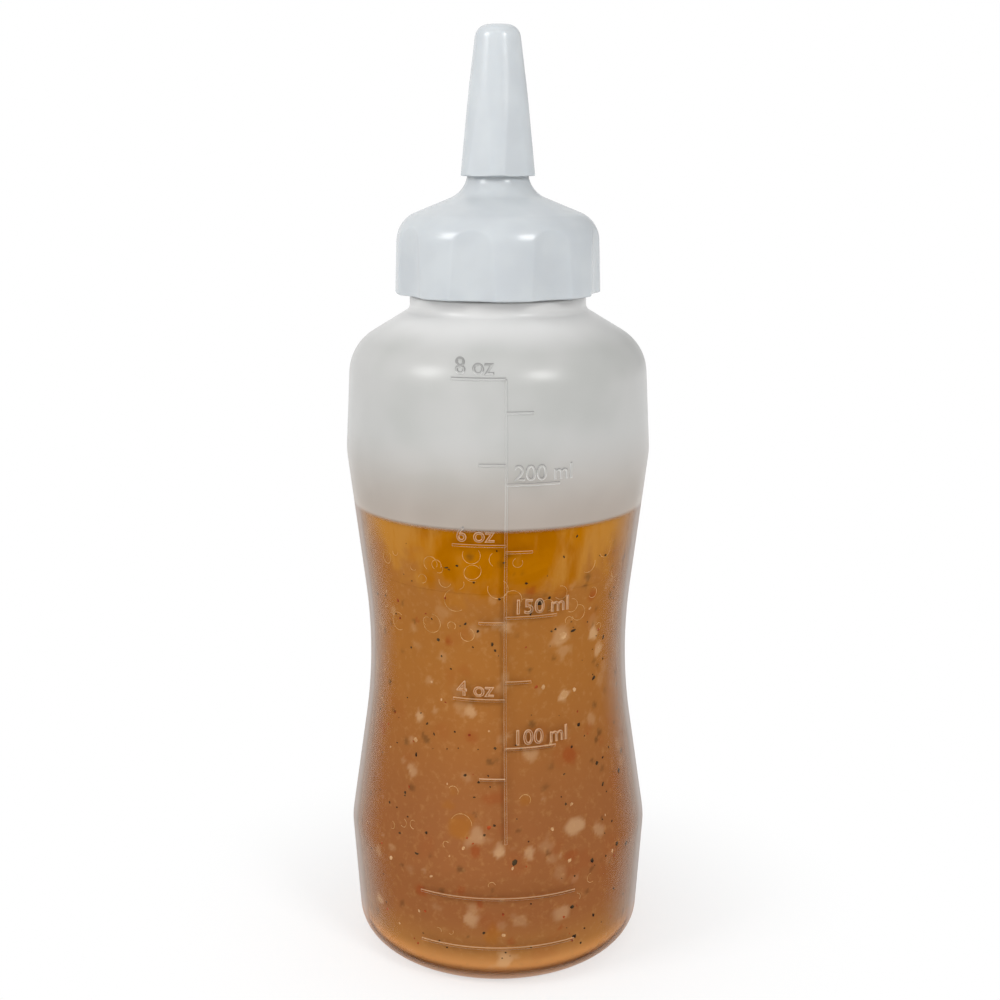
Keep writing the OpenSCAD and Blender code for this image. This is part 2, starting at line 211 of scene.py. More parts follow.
# %% Move an outline inwards
def moved_in(corners, depth):
    """The corners of an outline moved to its left by a depth, with their roundings to match."""
    places = [Vector((r, z)) for r, z, _ in corners]
    ways = [(b - a).normalized() for a, b in zip(places, places[1:])]
    moved = []
    for i, (place, (_, _, rounding)) in enumerate(zip(places, corners)):
        before, after = ways[max(i - 1, 0)], ways[min(i, len(ways) - 1)]
        left = Vector((-before.y - after.y, before.x + after.x))
        spot = place + left * depth / (1 + before.dot(after))
        sense = math.copysign(1, before.cross(after))
        kept = 0 if rounding == 0 else max(LEAST_ROUND, rounding - sense * depth)
        moved.append((max(spot.x, 0), spot.y, kept))
    return moved


def radius_at(points, height):
    """The radius of an outline's side wall at a height, by linear interpolation."""
    for (r0, z0), (r1, z1) in zip(points, points[1:]):
        if z0 <= height <= z1 and z1 > z0:
            return r0 + (r1 - r0) * (height - z0) / (z1 - z0)
    return points[-1][0]


outer_side = [p for p in outline_points(body_corners) if p[0] > PUSH_UP_R]
inner_corners = moved_in(body_corners, WALL)
print("waist radius in mm:", round(radius_at(outer_side, WAIST_Z) / MM, 3))

# %% [markdown]
# ## Colours and nodes
# Colours are written as a painter would pick them, in sRGB hex, and one function turns them into
# the linear values that the shaders need. One more function adds a node with its settings and
# links, and hands back the output that the next node reads. The short ones after it build on it,
# for the steps that every material here repeats. Patterns read Object coordinates, which are
# metres here, so a pattern's scale is one over its real size.

# %% Colour and node helpers
def linear(colour):
    """A linear RGBA value from an sRGB hex colour."""
    parts = [int(colour[i:i + 2], 16) / 255 for i in (1, 3, 5)]
    return [c / 12.92 if c <= 0.04045 else ((c + 0.055) / 1.055) ** 2.4 for c in parts] + [1.0]


def add_node(tree, kind, sockets=(), output=0, **settings):
    """Adds a node and returns one output. Sockets take values, or other nodes' outputs to link."""
    node = tree.nodes.new("ShaderNode" + kind)
    for name, value in settings.items():
        setattr(node, name, value)
    pairs = sockets.items() if isinstance(sockets, dict) else enumerate(sockets)
    for socket, value in pairs:
        if isinstance(value, bpy.types.NodeSocket):
            tree.links.new(value, node.inputs[socket])
        else:
            node.inputs[socket].default_value = value
    return node.outputs[output] if node.outputs else node


def eased(tree, value, start, end, low=0.0, high=1.0):
    """Goes softly from low to high while a value goes from start to end."""
    return add_node(tree, "MapRange", [value, start, end, low, high],
                    interpolation_type="SMOOTHSTEP")


def blend(tree, share, first, second):
    """Mixes two colours by a share. Each is a hex colour or another node's output."""
    first, second = [linear(c) if isinstance(c, str) else c for c in (first, second)]
    return add_node(tree, "Mix", {0: share, 6: first, 7: second}, output=2, data_type="RGBA")


def patches(tree, place, size, detail=2.0, **sockets):
    """Noise with patches of about one size."""
    return add_node(tree, "TexNoise", {"Vector": place, "Scale": 1 / size, "Detail": detail,
                                       **sockets})


def bumped(tree, height, strength, depth):
    """A normal that follows a pattern of small bumps."""
    return add_node(tree, "Bump", {"Strength": strength, "Distance": depth, "Height": height})


def outward(tree, place):
    """The level direction from the bottle's axis to a point."""
    level = add_node(tree, "VectorMath", [place, (1, 1, 0)], operation="MULTIPLY")
    return add_node(tree, "VectorMath", [level], operation="NORMALIZE")


def new_material(name):
    """An empty node material, with its tree and its Object coordinates."""
    material = bpy.data.materials.new(name)
    material.use_nodes = True
    tree = material.node_tree
    tree.nodes.clear()
    return material, tree, add_node(tree, "TexCoord", output="Object")


def translucent(tree, share, plastic):
    """Makes the surface a plastic that lets the rest of the light straight through."""
    clear = add_node(tree, "BsdfTransparent")
    add_node(tree, "OutputMaterial", [add_node(tree, "MixShader", [share, clear, plastic])])


print("grey card:", [round(c, 3) for c in linear("#808080")])

# %% [markdown]
# ## Natural polyethylene, blow-moulded
# Natural LDPE scatters light inside its wall, so an empty bottle looks like frosted glass. Where
# a liquid wets the inside, the wall nearly vanishes. Volume scattering would be the textbook way,
# but it is slow and noisy. Two thin skins that mix a pale plastic with a transparent shader give
# the same look: mostly plastic above the liquid, mostly transparent below it. Near the outline a
# sight line runs a long way inside the wall, as in glass, so Layer Weight makes the skin denser
# there. The neck, the thickest part of a blown bottle, is painted whiter: painted light that stands
# in for the light passing through the plastic into the shade under the closure. The foot is painted
# an opaque sauce colour, paler at its lower edge, which covers the shade on the liquid behind it.

# %% Blow-moulded polyethylene
DRY_SKIN, DRY_VARIATION = 0.76, 0.02
WET_RIM, RIM_FROM, RIM_TO = 0.78, 0.42, 0.96
LINE_BLUR = 0.6 * MM
TINT_RISE, TINT_SHARE = 17 * MM, 0.6
NECK_FROM_Z, NECK_TO_Z = 117 * MM, 122 * MM
FOOT_FROM_Z, FOOT_TO_Z, FOOT_SKIN = 4.5 * MM, 1.5 * MM, 0.9
SOAK_FROM_Z, BELOW_Z = 9 * MM, 0.5 * MM
WALL_CLOUD, WALL_GRAIN = 18 * MM, 1.6 * MM
# The third colour is a painted glow for the neck in the closure's shade.
POLYETHYLENE_PALE, POLYETHYLENE, NECK_PAINTED_GLOW = "#c8c8c6", "#c1c2bf", "#e6e6e5"
STAINED, WET_PLASTIC = "#a6907c", "#8c7461"
# Both sauce colours are painted on the foot over the shade behind it; the second, paler one is a painted
# lift at its lower edge.
FOOT_PAINTED_SAUCE, FOOT_PAINTED_LIFT = "#b07844", "#c88c50"


def polyethylene_skin(name, relief=False):
    """Translucent wall material: dense above the contents, clear where they wet it."""
    material, tree, place = new_material(name)
    z = add_node(tree, "SeparateXYZ", [place], output="Z")
    pale = eased(tree, patches(tree, place, WALL_CLOUD), 0.35, 0.65)
    dry = eased(tree, z, LEVEL_Z - LINE_BLUR, LEVEL_Z + LINE_BLUR)
    dense = add_node(tree, "MapRange", [pale, 0.0, 1.0, DRY_SKIN - DRY_VARIATION,
                                        DRY_SKIN + DRY_VARIATION])
    facing = add_node(tree, "LayerWeight", {"Blend": 0.5}, output="Facing")
    rim = eased(tree, facing, RIM_FROM, RIM_TO, 0.0, WET_RIM)
    # The foot's skin turns nearly opaque, so that a painted sauce colour covers the shade behind it.
    foot = eased(tree, z, FOOT_FROM_Z, FOOT_TO_Z, 0.0, FOOT_SKIN)
    wet = add_node(tree, "Math", [rim, foot], operation="MAXIMUM")
    body = add_node(tree, "Mix", {0: dry, 2: wet, 3: dense})
    share = add_node(tree, "Math", [body, rim], operation="MAXIMUM")

    plain = blend(tree, pale, POLYETHYLENE, POLYETHYLENE_PALE)
    # Painted light: the neck is painted whiter, a glow that stands in for light passing through the
    # plastic into the shade under the closure.
    plain = blend(tree, eased(tree, z, NECK_FROM_Z, NECK_TO_Z), plain, NECK_PAINTED_GLOW)
    stain = eased(tree, z, LEVEL_Z, LEVEL_Z + TINT_RISE, TINT_SHARE, 0.0)
    plain = blend(tree, stain, plain, STAINED)
    # Painted light: the foot is painted an opaque sauce colour, paler towards its lower edge, which
    # covers the shade on the liquid's rounded bottom.
    sauce = blend(tree, eased(tree, z, FOOT_TO_Z, BELOW_Z), FOOT_PAINTED_SAUCE, FOOT_PAINTED_LIFT)
    wet_or_painted_foot = blend(tree, eased(tree, z, SOAK_FROM_Z, FOOT_FROM_Z), WET_PLASTIC, sauce)
    colour = blend(tree, dry, wet_or_painted_foot, plain)
    if relief:
        share, colour = relief_edges(tree, place, share, colour, dry)
    plastic = add_node(tree, "BsdfPrincipled", {
        "Base Color": colour, "Roughness": 0.3, "IOR": 1.51,
        "Normal": bumped(tree, patches(tree, place, WALL_GRAIN), 0.1, 0.05 * MM)})
    translucent(tree, share, plastic)
    return material


# %% [markdown]
# ## Raised lines
# A ridge in clear plastic shows by its flanks, which bend the light, and hardly by its flat top.
# The material finds a flank by geometry alone: there the true normal leaves the radial direction.
# It paints the light on the flanks: over the sauce both flanks get a pale painted highlight, and
# over the empty wall the upper flank gets a painted shade, darker than the plastic, and the lower
# one a painted highlight that stands in for the floor's light.

# %% Raised lines
# These colours are painted light on the ridges' flanks: a pale painted highlight over the sauce, a
# painted shade on the upper flank and a painted highlight on the lower one over the empty wall.
WET_LINE_PAINTED_GLINT, DRY_LINE_PAINTED_SHADE, DRY_LINE_PAINTED_HIGHLIGHT = "#e6bd95", "#969694", "#f6f6f4"
LINE_STRENGTH = 0.5
TOP_SQUARE, FLANK_SQUARE = 0.95, 0.80
FLANK_TILT = 0.35


def relief_edges(tree, place, share, colour, dry):
    """Skin share and colour with painted shade and painted highlights on the flanks of raised lines."""
    normal = add_node(tree, "NewGeometry", output="True Normal")
    square = add_node(tree, "VectorMath", [normal, outward(tree, place)], output="Value",
                      operation="DOT_PRODUCT")
    flank = eased(tree, square, TOP_SQUARE, FLANK_SQUARE)
    tilt = add_node(tree, "SeparateXYZ", [normal], output="Z")
    under = eased(tree, tilt, FLANK_TILT, -FLANK_TILT)
    # Painted shade and painted highlights on the flanks, chosen by their tilt.
    line = blend(tree, dry, WET_LINE_PAINTED_GLINT, blend(tree, under, DRY_LINE_PAINTED_SHADE, DRY_LINE_PAINTED_HIGHLIGHT))
    edge = add_node(tree, "Math", [flank, LINE_STRENGTH], operation="MULTIPLY")
    return (add_node(tree, "Math", [share, edge], operation="MAXIMUM"),
            blend(tree, flank, colour, line))


wall_skin = polyethylene_skin("blow_moulded_polyethylene")
relief_skin = polyethylene_skin("raised_polyethylene", relief=True)
print("wall materials:", wall_skin.name, relief_skin.name)

# %% [markdown]
# ## Injection-moulded polyethylene
# The closure and the tip cap are thicker and smoother than the bottle. They look milky, slightly
# blue, and shinier, because a polished steel mould gave them their surface.

# %% Injection-moulded polyethylene
MILKY, MILKY_PALE = "#c6cbcf", "#ccd1d4"
MILKY_CLOUD, MILKY_GRAIN = 7 * MM, 1.2 * MM


def milky_polyethylene(name, skin_share):
    """Milky semi-gloss plastic that lets a little light straight through."""
    material, tree, place = new_material(name)
    pale = eased(tree, patches(tree, place, MILKY_CLOUD), 0.3, 0.7)
    plastic = add_node(tree, "BsdfPrincipled", {
        "Base Color": blend(tree, pale, MILKY, MILKY_PALE), "Roughness": 0.24, "IOR": 1.52,
        "Subsurface Weight": 0.3, "Subsurface Scale": 1 * MM, "Subsurface Radius": (1.6, 1.8, 2.0),
        "Normal": bumped(tree, patches(tree, place, MILKY_GRAIN, 1.0), 0.05, 0.04 * MM)})
    translucent(tree, skin_share, plastic)
    return material


closure_plastic = milky_polyethylene("injection_moulded_polyethylene", 0.88)
cap_plastic = milky_polyethylene("moulded_cap_polyethylene", 0.92)

# %% [markdown]
# ## Silicone
# The washer is moulded silicone: matt, slightly warm white, with the faint grain of a
# spark-eroded mould.

# %% Silicone
def silicone_rubber():
    """Matt rubber for the sealing washer."""
    material, tree, place = new_material("moulded_silicone")
    grain = patches(tree, place, 0.5 * MM)
    rubber = add_node(tree, "BsdfPrincipled", {
        "Base Color": blend(tree, grain, "#dcdad2", "#e8e7e1"), "Roughness": 0.62, "IOR": 1.41,
        "Normal": bumped(tree, grain, 0.2, 0.03 * MM)})
    add_node(tree, "OutputMaterial", [rubber])
    return material


silicone = silicone_rubber()

# %% [markdown]
# ## The vinaigrette
# The dressing is an emulsion of oil and vinegar full of ground spices. At rest its oil rises, so
# the top looks clear amber where the wall is clean, and tan where a film of emulsion clings to
# it. One colour recipe serves both liquids, so no seam shows between them. The bits that float
# just under the surface blur, so they are not geometry: each liquid's mesh carries a colour
# attribute, whose red, green and blue say how much garlic, red pepper or herb shows at a point,
# and its alpha how much clear oil. At the round edge of the foot, which lies in shade, the
# emulsion is painted paler: a painted lift against that shade.

# %% Colour of the liquids
EMULSION_TOP, EMULSION_LOW, LOW_Z, TOP_Z = "#a0672f", "#935c35", 28 * MM, 66 * MM
EMULSION_FLOOR, FLOOR_Z, FLOOR_END_Z, FLOOR_SHARE = "#ac7840", 5 * MM, 15 * MM, 0.7
# The edge colour is a painted lift against the shade at the foot.
EMULSION_PAINTED_LIFT, LIFT_FROM_Z, LIFT_TO_Z = "#d8985a", 7.5 * MM, 3 * MM
PALE_DROPS, AMBER, AMBER_DEEP, OIL_FILM = "#b4824f", "#b06c02", "#a25f00", "#b67d34"
GARLIC, RED_PEPPER, HERB = "#d8b58a", "#8e3410", "#3c2e1c"
AMBER_TURN = math.radians(4)
OIL_SWAY, CLEAN_DROP = 22 * MM, 5 * MM
OIL_FROM_Z, OIL_TO_Z = 88 * MM, 95 * MM


def sauce_colour(tree, place):
    """The colour of the contents at a point, from the deep emulsion to the clear oil."""
    z = add_node(tree, "SeparateXYZ", [place], output="Z")
    cloud = patches(tree, place, 9 * MM, 4.0, Roughness=0.55, Distortion=0.6)
    fine = patches(tree, place, 1.1 * MM, 3.0, Roughness=0.6)
    drawn = add_node(tree, "Mapping", {"Vector": place, "Scale": (1, 1, 0.28)})
    streaks = patches(tree, drawn, 4 * MM, 4.0, Roughness=0.6)
    body = blend(tree, eased(tree, z, LOW_Z, TOP_Z), EMULSION_LOW, EMULSION_TOP)
    # The emulsion is paler towards the floor.
    near_floor = eased(tree, z, FLOOR_Z, FLOOR_END_Z, FLOOR_SHARE, 0.0)
    body = blend(tree, near_floor, body, EMULSION_FLOOR)
    # Painted light: the emulsion is painted paler at the foot's round edge, against the shade that falls
    # there.
    body = blend(tree, eased(tree, z, LIFT_FROM_Z, LIFT_TO_Z), body, EMULSION_PAINTED_LIFT)
    body = blend(tree, eased(tree, fine, 0.5, 0.78, 0.0, 0.42), body, PALE_DROPS)

    clean_side = (math.sin(AMBER_TURN), -math.cos(AMBER_TURN), 0)
    front = add_node(tree, "VectorMath", [outward(tree, place), clean_side], output="Value",
                     operation="DOT_PRODUCT")
    near = eased(tree, front, 0.70, 0.99)
    behind = eased(tree, front, -0.35, -0.9)
    clean = add_node(tree, "Math", [near, behind], operation="MAXIMUM")
    film = add_node(tree, "Math", [clean, 0.35, streaks], operation="MULTIPLY_ADD")
    amber = blend(tree, eased(tree, cloud, 0.35, 0.65), AMBER, AMBER_DEEP)
    top = blend(tree, eased(tree, film, 0.50, 0.86), OIL_FILM, amber)
    sway = add_node(tree, "Math", [cloud, OIL_SWAY, z], operation="MULTIPLY_ADD")
    edge = add_node(tree, "Math", [clean, CLEAN_DROP, sway], operation="MULTIPLY_ADD")
    rise = eased(tree, edge, OIL_FROM_Z, OIL_TO_Z)

    bits = add_node(tree, "Attribute", attribute_name="floating", output="Color")
    oil_drop = bits.node.outputs["Alpha"]
    shares = add_node(tree, "SeparateColor", [bits]).node.outputs
    colour = blend(tree, add_node(tree, "Math", [rise, oil_drop], operation="MAXIMUM"), body, top)
    for share, bit in zip(shares, (GARLIC, RED_PEPPER, HERB)):
        colour = blend(tree, share, colour, bit)
    return colour


def liquid(name, roughness):
    """An opaque, wet liquid that lies against the wall."""
    material, tree, place = new_material(name)
    wet = add_node(tree, "BsdfPrincipled", {
        "Base Color": sauce_colour(tree, place), "Roughness": roughness, "IOR": 1.46,
        "Specular IOR Level": 0.0,
        "Normal": bumped(tree, patches(tree, place, 3 * MM), 0.08, 0.1 * MM)})
    add_node(tree, "OutputMaterial", [wet])
    return material


emulsion = liquid("emulsified_dressing", 0.5)
amber_oil = liquid("settled_olive_oil", 0.4)

# %% [markdown]
# ## The bottle's wall
# The outer outline runs from the middle of the floor up to the neck's rim, and the inner one runs
# back down to the middle of the floor. Spun together they close into one solid wall.

# %% Spin the bottle
ROUND_STEPS = 192
slope = inner_corners[-1][1] - inner_corners[-2][1]
run = inner_corners[-1][0] - inner_corners[-2][0]
bore_z = inner_corners[-2][1] + slope * (NECK_BORE_R - inner_corners[-2][0]) / run
wall_corners = body_corners + [
    (BEAD_R, BEAD_Z + BEAD_H, EDGE_ROUND),
    (NECK_R, BEAD_Z + BEAD_H, 0),
    (NECK_R, RIM_Z, EDGE_ROUND),
    (NECK_BORE_R, RIM_Z, EDGE_ROUND),
    (NECK_BORE_R, bore_z, BEAD_ROUND),
] + inner_corners[-2::-1]

wall_bm = bmesh.new()
draw_outline(wall_bm, wall_corners)
revolve(wall_bm, ROUND_STEPS)
bottle_wall = finish_piece(wall_bm, "bottle_wall", wall_skin)

# %% [markdown]
# ## Threads
# A thread is a small section that climbs as it turns. The spin operator does this when it is
# given a shift for each step. The section's crest is then drawn back at both ends, so that the
# thread grows out of its wall as a moulded one does.

# %% Spin a thread
PITCH, THREAD_DEPTH, THREAD_ROOT, THREAD_CREST = 4.2 * MM, 1.05 * MM, 1.7 * MM, 0.8 * MM
THREAD_STEP = math.radians(5)
THREAD_LEAD = math.radians(40)
THREAD_START = math.radians(30)
THREAD_TURN = 1.5 * math.tau
SINK, LEAST_CREST = 0.1 * MM, 0.02


def join(bm, small):
    """Adds a small bmesh to a large one, because operators are quicker on a small one."""
    mesh = bpy.data.meshes.new("joined")
    small.to_mesh(mesh)
    small.free()
    bm.from_mesh(mesh)
    bpy.data.meshes.remove(mesh)


def thread(bm, wall_r, depth, z):
    """Adds a right-handed thread that stands on a wall, outwards or, with a negative depth, inwards."""
    sink = math.copysign(SINK, depth)
    section = [(wall_r - sink, -THREAD_ROOT / 2), (wall_r + depth, -THREAD_CREST / 2),
               (wall_r + depth, THREAD_CREST / 2), (wall_r - sink, THREAD_ROOT / 2)]
    small = bmesh.new()
    verts = [small.verts.new((r, 0, z + h)) for r, h in section]
    face = small.faces.new(verts)
    start = Matrix.Rotation(THREAD_START, 3, "Z")
    bmesh.ops.rotate(small, verts=verts, cent=(0, 0, 0), matrix=start)
    steps = round(THREAD_TURN / THREAD_STEP)
    climb = PITCH * THREAD_TURN / math.tau / steps
    bmesh.ops.spin(small, geom=verts + face.edges[:] + [face], cent=(0, 0, 0), axis=(0, 0, 1),
                   dvec=(0, 0, climb), angle=THREAD_TURN, steps=steps)
    for v in small.verts:
        if abs(v.co.xy.length - wall_r) > abs(depth) / 2:
            up = min(max((v.co.z - z + THREAD_CREST / 2) / PITCH * math.tau, 0), THREAD_TURN)
            grown = min(1, up / THREAD_LEAD, (THREAD_TURN - up) / THREAD_LEAD)
            v.co.xy = v.co.xy.normalized() * (wall_r + depth * max(grown, LEAST_CREST))
    join(bm, small)


def recalculated(bm, name, material):
    """Turns the faces outwards and finishes the piece."""
    bmesh.ops.recalc_face_normals(bm, faces=bm.faces)
    return finish_piece(bm, name, material)


neck_thread_z = RIM_Z - THREAD_ROOT - PITCH * THREAD_TURN / math.tau
neck_bm = bmesh.new()
thread(neck_bm, NECK_R, THREAD_DEPTH, neck_thread_z)
neck_thread = recalculated(neck_bm, "neck_thread", wall_skin)

# %% [markdown]
# ## The raised scale
# The scale's lines, figures and arcs stand proud of the wall, which curves in two directions.
# Modelling them in place would be awkward. They are made flat instead, with X along the wall, Y
# outwards and Z up, and one function then wraps them round the bottle at the wall's own radius.

# %% Wrap flat relief onto the wall
def wrap(bm, side, turn=0.0):
    """Bends flat geometry onto a side wall: X becomes the way round from -Y, and Y stands out."""
    for v in bm.verts:
        r = radius_at(side, v.co.z)
        angle = v.co.x / r + turn - math.pi / 2
        out = r + v.co.y
        v.co = (out * math.cos(angle), out * math.sin(angle), v.co.z)
    bm.normal_update()


SCALE_TURN = math.radians(3)
FLUID_OZ = 29.5735
SCALE_DROP = 2.42 * MM
SCALE_RISE = 49 * MM
LINE_W, RELIEF = 0.5 * MM, 0.22 * MM
LONG_MARK, SHORT_MARK = 9.4 * MM, 4.7 * MM
UPRIGHT_FOOT_Z = 29.5 * MM
ARC_LOW_Z, ARC_HIGH_Z, ARC_LENGTH = 8.8 * MM, 19 * MM, 29.5 * MM
BURIED, RIDGE_BEVEL = 0.1 * MM, 0.16 * MM
CUT_LENGTH = 0.8 * MM


def mark_z(volume):
    """Height of the mark for a volume in millilitres. The scale is evenly spaced."""
    return SHOULDER_Z - SCALE_DROP - SCALE_RISE * (8 * FLUID_OZ - volume) / 100


def ridge(bm, x0, x1, z0, z1, height):
    """Adds a low ridge with bevelled edges between two corners, cut fine enough to bend."""
    made = bmesh.ops.create_cube(bm, size=1)["verts"]
    centre = Vector(((x0 + x1) / 2, (height - BURIED) / 2, (z0 + z1) / 2))
    size = Vector((x1 - x0, height + BURIED, z1 - z0))
    bmesh.ops.scale(bm, vec=size, verts=made)
    bmesh.ops.translate(bm, vec=centre, verts=made)
    outer = [e for v in made for e in v.link_edges
             if all(w.co.y > centre.y for w in e.verts)]
    bevelled = bmesh.ops.bevel(bm, geom=list(set(outer)), offset=RIDGE_BEVEL, segments=2,
                               profile=0.5, affect="EDGES", material=-1)
    made = [v for v in set(made) | set(bevelled["verts"]) if v.is_valid]
    edges = {e for v in made for e in v.link_edges}
    axis = 0 if x1 - x0 > z1 - z0 else 2
    long_edges = [e for e in edges
                  if abs((e.verts[0].co - e.verts[1].co)[axis]) > max(x1 - x0, z1 - z0) / 2]
    cuts = max(1, round(max(x1 - x0, z1 - z0) / CUT_LENGTH))
    bmesh.ops.subdivide_edges(bm, edges=long_edges, cuts=cuts)


scale_bm = bmesh.new()
for ounces in range(3, 9):
    z = mark_z(ounces * FLUID_OZ)
    length = LONG_MARK if ounces % 2 == 0 else SHORT_MARK
    ridge(scale_bm, -length, 0, z - LINE_W / 2, z + LINE_W / 2, RELIEF)
for volume in range(100, 250, 25):
    z = mark_z(volume)
    length = LONG_MARK if volume % 50 == 0 else SHORT_MARK
    ridge(scale_bm, 0, length, z - LINE_W / 2, z + LINE_W / 2, RELIEF)
ridge(scale_bm, -LINE_W / 2, LINE_W / 2, UPRIGHT_FOOT_Z, mark_z(8 * FLUID_OZ), RELIEF / 2)
for z in (ARC_LOW_Z, ARC_HIGH_Z):
    middle = -SCALE_TURN * radius_at(outer_side, z)
    ridge(scale_bm, middle - ARC_LENGTH / 2, middle + ARC_LENGTH / 2,
          z - LINE_W / 2, z + LINE_W / 2, RELIEF)
wrap(scale_bm, outer_side, SCALE_TURN)
volume_scale = recalculated(scale_bm, "volume_scale", relief_skin)

# %% [markdown]
# ## The figures
# The figures are raised too. Blender's own font is close to the plain sans serif that such moulds
# are engraved with. Each label is a text curve with a depth and a small bevel, which becomes a
# mesh before it is wrapped, because only a mesh can be bent.

# %% Raise the figures
FIGURE_H = 2.8 * MM
LABEL_FOOT = 0.75 * MM
CHAMFER, LABEL_RISE = 0.13 * MM, 0.07 * MM
CAP_SHARE = 0.73
RIGHT_LABEL_X, LEFT_LABEL_X = 1.3 * MM, -8.7 * MM


def label(bm, text, x, z):
    """Adds a word as flat raised letters, with its lower left corner at x and z."""
    curve = bpy.data.curves.new("label_" + text.replace(" ", "_"), "FONT")
    curve.body = text
    curve.size = FIGURE_H / CAP_SHARE
    curve.extrude = LABEL_RISE
    curve.bevel_depth = CHAMFER
    curve.bevel_resolution = 0
    curve.offset = -CHAMFER / 2
    curve.resolution_u = 5
    holder = bpy.data.objects.new(curve.name, curve)
    bpy.context.scene.collection.objects.link(holder)
    graph = bpy.context.evaluated_depsgraph_get()
    mesh = bpy.data.meshes.new_from_object(holder.evaluated_get(graph))
    upright = Matrix.Translation((x, 0, z)) @ Matrix.Rotation(math.pi / 2, 4, "X")
    mesh.transform(upright)
    bm.from_mesh(mesh)
    bpy.data.objects.remove(holder)
    bpy.data.curves.remove(curve)
    bpy.data.meshes.remove(mesh)


label_bm = bmesh.new()
for ounces in (4, 6, 8):
    label(label_bm, f"{ounces} oz", LEFT_LABEL_X, mark_z(ounces * FLUID_OZ) + LABEL_FOOT)
for volume in (100, 150, 200):
    label(label_bm, f"{volume} ml", RIGHT_LABEL_X, mark_z(volume) + LABEL_FOOT)
bmesh.ops.remove_doubles(label_bm, verts=label_bm.verts, dist=0.001 * MM)
wrap(label_bm, outer_side, SCALE_TURN)
bmesh.ops.recalc_face_normals(label_bm, faces=label_bm.faces)
scale_labels = finish_piece(label_bm, "scale_labels", relief_skin, smooth=False)

# %% [markdown]
# ## The closure
# One moulding: a skirt with grip flutes, a dome and the nozzle. It is spun like the bottle, and
# the flutes are pressed in afterwards. Each flute is the side of an upright cylinder, and a
# smooth minimum between the skirt's radius and the flute's gives the soft rim of a moulded part.

# %% Spin the closure
SKIRT_BORE_R = NECK_R + THREAD_DEPTH + 0.35 * MM
SKIRT_R = SKIRT_BORE_R + 2.15 * MM
DOME_R, DOME_Z, DOME_ROUND = SKIRT_R - 0.45 * MM, RIM_Z + 2.6 * MM, 5.5 * MM
NOZZLE_R, NOZZLE_Z, NOZZLE_ROUND = 5.87 * MM, DOME_Z + 5.05 * MM, 5 * MM
NOZZLE_TIP_R = 2.865 * MM
SHELL = 1.3 * MM
SEAL_T, SEAL_GAP = 1 * MM, 0.05 * MM
SHELF_Z = RIM_Z + SEAL_T + 2 * SEAL_GAP
PLUG_R, PLUG_BORE_R, PLUG_Z = NECK_BORE_R - 0.3 * MM, NECK_BORE_R - 1.25 * MM, RIM_Z - 2.2 * MM
PLUG_ROUND = 1 * MM
CLOSURE_STEPS = 480
FINE_ERROR = 0.002 * MM

closure_outside = [
    (SKIRT_BORE_R, SKIRT_Z, 0),
    (SKIRT_R, SKIRT_Z, EDGE_ROUND),
    (DOME_R, DOME_Z, DOME_ROUND),
    (NOZZLE_R, NOZZLE_Z, NOZZLE_ROUND),
    (NOZZLE_TIP_R, NOZZLE_TIP_Z, EDGE_ROUND),
    (NOZZLE_TIP_R - SHELL, NOZZLE_TIP_Z, 0),
]
closure_inside = moved_in(closure_outside, SHELL)
dome_in, nozzle_in = closure_inside[2], closure_inside[3]
dome_fall = (nozzle_in[1] - dome_in[1]) / (nozzle_in[0] - dome_in[0])
dome_under_z = dome_in[1] + dome_fall * (PLUG_BORE_R - dome_in[0])
closure_corners = closure_outside + [
    nozzle_in,
    (PLUG_BORE_R, dome_under_z, PLUG_ROUND),
    (PLUG_BORE_R, PLUG_Z, 0),
    (PLUG_R, PLUG_Z, EDGE_ROUND),
    (PLUG_R, SHELF_Z, EDGE_ROUND),
    (SKIRT_BORE_R, SHELF_Z, EDGE_ROUND),
    (SKIRT_BORE_R, SKIRT_Z, 0),
]
closure_bm = bmesh.new()
draw_outline(closure_bm, closure_corners, FINE_ERROR)
skirt_edges = [e for e in closure_bm.edges
               if min(v.co.x for v in e.verts) > SKIRT_BORE_R + 1 * MM
               and max(v.co.z for v in e.verts) > DOME_Z - DOME_ROUND
               and e.calc_length() > 2 * MM]
bmesh.ops.subdivide_edges(closure_bm, edges=skirt_edges, cuts=8)
revolve(closure_bm, CLOSURE_STEPS)

# %% [markdown]
# ## Grip flutes
# The flutes only touch the outer skin, so the bore and the plug lip are left out of the move.

# %% Press the flutes in
FLUTES, FLUTE_START = 8, math.radians(-14)
FLUTE_DEPTH, FLUTE_HOLLOW = 0.65 * MM, 14.5 * MM
FLUTE_BLEND = 0.14 * MM


def smooth_least(a, b, blend):
    """The lesser of two sizes, with a soft fillet where they are nearly equal."""
    near = max(blend - abs(a - b), 0) / blend
    return min(a, b) - near * near * blend / 4


def flute_radius(angle):
    """Radius of the flutes' surface in a direction, or a large one between the flutes."""
    pitch = math.tau / FLUTES
    off = (angle - FLUTE_START + pitch / 2) % pitch - pitch / 2
    away = DOME_R - FLUTE_DEPTH + FLUTE_HOLLOW
    inside = FLUTE_HOLLOW ** 2 - (away * math.sin(off)) ** 2
    return away * math.cos(off) - math.sqrt(inside) if inside > 0 else SKIRT_R * 2


def pressed_in(r, z, flute_r):
    """A new radius under a flute. The lower edge moves in whole, so that it keeps its rounding."""
    if z > SKIRT_Z + EDGE_ROUND:
        return smooth_least(r, flute_r, FLUTE_BLEND)
    return r - SKIRT_R + smooth_least(SKIRT_R, flute_r, FLUTE_BLEND)


for v in closure_bm.verts:
    r = v.co.xy.length
    if r > SKIRT_BORE_R + 0.5 * MM:
        v.co.xy *= pressed_in(r, v.co.z, flute_radius(math.atan2(v.co.y, v.co.x))) / r

